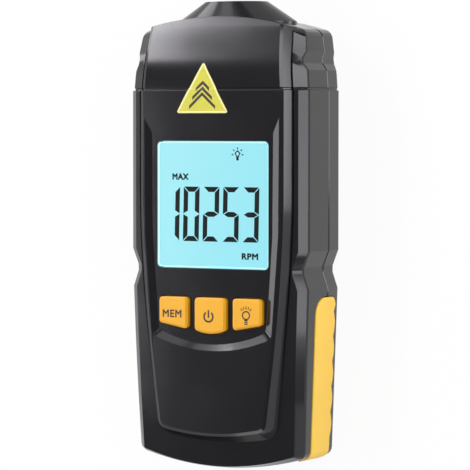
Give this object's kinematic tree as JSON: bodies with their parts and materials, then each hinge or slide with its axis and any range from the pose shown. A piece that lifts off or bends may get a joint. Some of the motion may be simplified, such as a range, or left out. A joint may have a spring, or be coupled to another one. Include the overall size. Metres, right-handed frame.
{
  "type": "handheld optical tachometer",
  "caption": "Handheld optical tachometer with a tapered sensor nose, backlit display, push keys, soft side grips and a sliding battery door.",
  "frame": {"origin": "middle of the bounding box on the back face that the instrument lies on", "axes": "+X to the right as the display is read, +Y along the body towards the sensor nose, +Z out of the display"},
  "size_m": [0.0568, 0.1314, 0.0295],
  "materials": {
    "black_abs": "satin moulded",
    "orange_key": "satin moulded",
    "amber_grip": "soft moulded",
    "clear_acrylic": "clear",
    "display_glass": "backlit",
    "light_guide": "diffusing",
    "grey_plastic": "moulded",
    "zebra_rubber": "striped elastomer",
    "green_laminate": "solder mask",
    "black_epoxy": "moulded",
    "plated_steel": "plated",
    "brass": "turned",
    "battery_wrap": "printed foil, plain",
    "red_jacket": "wire jacket"
  },
  "bodies": {
    "housing": {"front_shell": "black_abs", "rear_shell": "black_abs", "sensor_hood": "black_abs", "sensor_window": "clear_acrylic", "grip_left": "amber_grip", "grip_right": "amber_grip", "display_window": "clear_acrylic", "lcd_glass": "display_glass", "backlight": "light_guide", "lcd_frame": "grey_plastic", "zebra_strip": "zebra_rubber", "main_board": "green_laminate", "controller_chip": "black_epoxy", "quartz_crystal": "plated_steel", "mem_switch": "plated_steel", "power_switch": "plated_steel", "light_switch": "plated_steel", "optics_holder": "grey_plastic", "laser_module": "brass", "receiver_lens": "clear_acrylic", "photodiode": "black_epoxy", "battery": "battery_wrap", "battery_snap": "black_epoxy", "battery_lead_red": "red_jacket", "battery_lead_black": "black_epoxy", "case_screw_1": "plated_steel", "case_screw_2": "plated_steel", "case_screw_3": "plated_steel", "case_screw_4": "plated_steel", "board_screw_1": "plated_steel", "board_screw_2": "plated_steel", "board_screw_3": "plated_steel", "board_screw_4": "plated_steel"},
    "mem_key": {"mem_button": "orange_key", "mem_plunger": "black_epoxy"},
    "power_key": {"power_button": "orange_key", "power_plunger": "black_epoxy"},
    "light_key": {"light_button": "orange_key", "light_plunger": "black_epoxy"},
    "door": {"battery_door": "black_abs"}
  },
  "joints": [
    {"name": "mem_press", "type": "slide", "parent": "housing", "child": "mem_key", "axis": [0, 0, -1], "range_m": [0, 0.0005], "stiffness_N_per_m": 1500},
    {"name": "power_press", "type": "slide", "parent": "housing", "child": "power_key", "axis": [0, 0, -1], "range_m": [0, 0.0005], "stiffness_N_per_m": 1500},
    {"name": "light_press", "type": "slide", "parent": "housing", "child": "light_key", "axis": [0, 0, -1], "range_m": [0, 0.0005], "stiffness_N_per_m": 1500},
    {"name": "door_slide", "type": "slide", "parent": "housing", "child": "door", "axis": [0, -1, 0], "range_m": [0, 0.06]}
  ]
}
